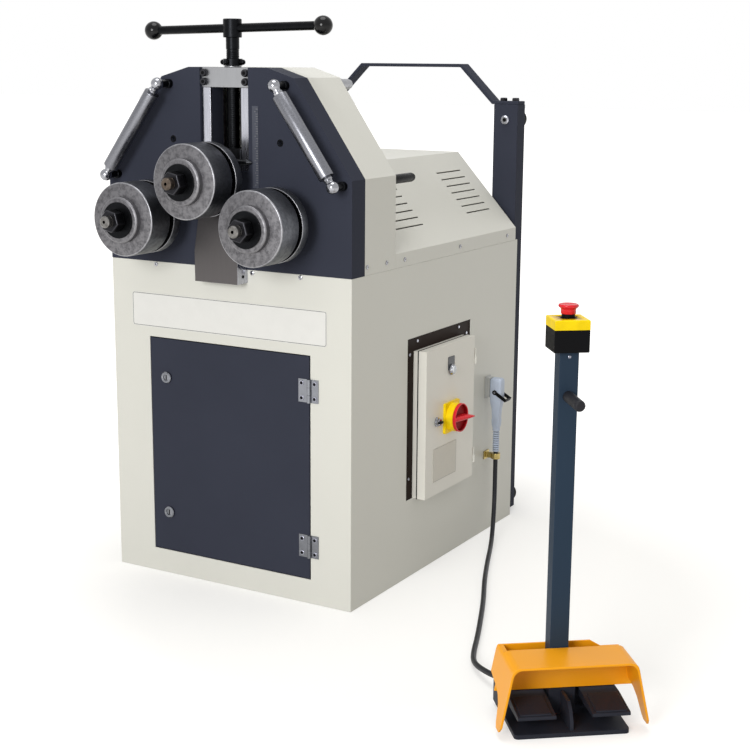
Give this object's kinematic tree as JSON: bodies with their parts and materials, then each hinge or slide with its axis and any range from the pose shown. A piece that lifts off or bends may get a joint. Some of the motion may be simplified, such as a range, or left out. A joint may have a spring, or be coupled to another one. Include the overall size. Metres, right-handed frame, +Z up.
{
  "type": "ring roller",
  "caption": "Floor-standing powered ring roller: three-roll head with screw-fed upper roll on a cabinet with electric box, and a pedal stand on a cable.",
  "frame": {"origin": "middle of the cabinet's footprint, on the floor", "axes": "+X to the operator's right, +Y away from the operator, +Z up"},
  "size_m": [1.3603, 1.2655, 1.2312],
  "materials": {
    "cream_paint": "smooth satin cream paint",
    "dark_paint": "satin anthracite paint",
    "black_steel": "blackened steel",
    "machined_steel": "turned and ground steel",
    "bright_steel": "bright stainless sheet",
    "chrome": "polished chrome",
    "orange_paint": "glossy orange paint",
    "black_plastic": "moulded black plastic",
    "grey_plastic": "blue grey moulded plastic",
    "rubber": "black rubber",
    "red_plastic": "glossy red plastic",
    "yellow_plastic": "yellow plastic",
    "cast_iron": "painted cast iron",
    "bearing_bronze": "bearing bronze",
    "brass": "bare brass",
    "label_plate": "blank satin plate",
    "cable_jacket": "black cable jacket"
  },
  "bodies": {
    "root": {"cabinet_shell": "cream_paint", "cabinet_frame": "black_steel", "hinge_brackets": "bright_steel", "front_plate": "dark_paint", "rear_bearing_plate": "machined_steel", "head_housing": "cream_paint", "lower_bearings": "bearing_bronze", "bar_pins": "chrome", "slanting_bars": "bright_steel", "bridge_plate": "bright_steel", "guide_rails": "bright_steel", "drop_guard": "bright_steel", "gearmotor": "cast_iron", "rear_cover": "cream_paint", "rear_columns": "dark_paint", "rubber_feet": "rubber", "strap_handle": "dark_paint", "enclosure_body": "cream_paint", "enclosure_frame": "black_steel", "control_gear": "grey_plastic", "connector_plug": "grey_plastic", "connector_fittings": "black_plastic", "foot_cable": "cable_jacket", "cable_glands": "black_plastic", "pedal_base": "black_plastic", "pedal_hood": "orange_paint", "pedal_column": "dark_paint", "stop_box": "black_plastic", "stop_box_cover": "yellow_plastic", "panel_screws": "chrome", "bolts": "black_steel", "plates": "label_plate"},
    "cabinet_door": {"cabinet_door": "dark_paint"},
    "upper_door_lock": {"upper_door_lock": "chrome"},
    "lower_door_lock": {"lower_door_lock": "chrome"},
    "electric_door": {"electric_door": "cream_paint", "signal_lamp": "label_plate", "switch_base": "yellow_plastic"},
    "switch_knob": {"switch_knob": "red_plastic"},
    "box_latch": {"box_latch": "chrome"},
    "connector_lever": {"connector_lever": "black_plastic"},
    "carriage": {"upper_carriage": "machined_steel"},
    "feed_screw": {"feed_screw": "black_steel", "t_handle": "black_steel"},
    "lock_nut": {"lock_nut": "black_steel"},
    "left_roll": {"left_roll_shaft": "machined_steel", "left_roll_rings": "machined_steel", "left_roll_nut": "black_steel", "left_roll_gear": "machined_steel"},
    "right_roll": {"right_roll_shaft": "machined_steel", "right_roll_rings": "machined_steel", "right_roll_nut": "black_steel", "right_roll_gear": "machined_steel"},
    "upper_roll": {"upper_roll_shaft": "machined_steel", "upper_roll_rings": "machined_steel", "upper_roll_nut": "black_steel"},
    "drive_pinion": {"drive_pinion": "machined_steel"},
    "left_pedal": {"left_pedal": "black_plastic"},
    "right_pedal": {"right_pedal": "black_plastic"},
    "stop_button": {"stop_button": "red_plastic"}
  },
  "joints": [
    {"name": "cabinet_door_hinge", "type": "hinge", "parent": "root", "child": "cabinet_door", "pos_m": [0.209, -0.404, 0.299], "axis": [0, 0, 1], "range_deg": [0, 110]},
    {"name": "upper_lock_turn", "type": "hinge", "parent": "cabinet_door", "child": "upper_door_lock", "pos_m": [-0.164, -0.4, 0.456], "axis": [0, -1, 0], "range_deg": [0, 90]},
    {"name": "lower_lock_turn", "type": "hinge", "parent": "cabinet_door", "child": "lower_door_lock", "pos_m": [-0.164, -0.4, 0.146], "axis": [0, -1, 0], "range_deg": [0, 90]},
    {"name": "electric_door_hinge", "type": "hinge", "parent": "root", "child": "electric_door", "pos_m": [0.34, 0.115, 0.35], "axis": [0, 0, 1], "range_deg": [0, 110]},
    {"name": "main_switch_turn", "type": "hinge", "parent": "electric_door", "child": "switch_knob", "pos_m": [0.34, -0.01, 0.351], "axis": [1, 0, 0], "range_deg": [0, 90]},
    {"name": "box_latch_turn", "type": "hinge", "parent": "electric_door", "child": "box_latch", "pos_m": [0.34, -0.076, 0.351], "axis": [1, 0, 0], "range_deg": [0, 90]},
    {"name": "connector_lever_pivot", "type": "hinge", "parent": "root", "child": "connector_lever", "pos_m": [0.3366, 0.246, 0.358], "axis": [0, -1, 0], "range_deg": [0, 60]},
    {"name": "carriage_slide", "type": "slide", "parent": "root", "child": "carriage", "axis": [0, 0, 1], "range_m": [-0.0401, 0.0951]},
    {"name": "feed_screw_turn", "type": "hinge", "parent": "carriage", "child": "feed_screw", "pos_m": [0, -0.366, 1.1], "axis": [0, 0, 1], "range_deg": [-3600, 8550]},
    {"name": "lock_nut_turn", "type": "hinge", "parent": "root", "child": "lock_nut", "pos_m": [0, -0.366, 1.14], "axis": [0, 0, 1], "range_deg": [0, 90]},
    {"name": "left_roll_turn", "type": "hinge", "parent": "root", "child": "left_roll", "pos_m": [-0.16, -0.4, 0.817], "axis": [0, 1, 0], "continuous": true},
    {"name": "right_roll_turn", "type": "hinge", "parent": "root", "child": "right_roll", "pos_m": [0.16, -0.4, 0.817], "axis": [0, 1, 0], "continuous": true},
    {"name": "drive_pinion_turn", "type": "hinge", "parent": "root", "child": "drive_pinion", "pos_m": [0, -0.3, 0.78861], "axis": [0, 1, 0], "continuous": true},
    {"name": "upper_roll_turn", "type": "hinge", "parent": "carriage", "child": "upper_roll", "pos_m": [0, -0.4, 0.902], "axis": [0, 1, 0], "continuous": true},
    {"name": "left_pedal_pivot", "type": "hinge", "parent": "root", "child": "left_pedal", "pos_m": [0.82431, -0.65787, 0.0365], "axis": [0.788, 0.6157, 0], "range_deg": [0, 8], "stiffness_Nm_per_rad": 12, "springref_deg": -6.88},
    {"name": "right_pedal_pivot", "type": "hinge", "parent": "root", "child": "right_pedal", "pos_m": [0.92911, -0.57599, 0.0365], "axis": [0.788, 0.6157, 0], "range_deg": [0, 8], "stiffness_Nm_per_rad": 12, "springref_deg": -6.88},
    {"name": "stop_button_travel", "type": "slide", "parent": "root", "child": "stop_button", "axis": [0, 0, -1], "range_m": [0, 0.005], "stiffness_N_per_m": 1200, "springref_m": -0.002}
  ],
  "couplings": [
    {"joint": "carriage_slide", "follows": "feed_screw_turn", "m_per_rad": 0.00063662},
    {"joint": "right_roll_turn", "follows": "left_roll_turn", "ratio": 1},
    {"joint": "drive_pinion_turn", "follows": "left_roll_turn", "ratio": -1.8261}
  ]
}
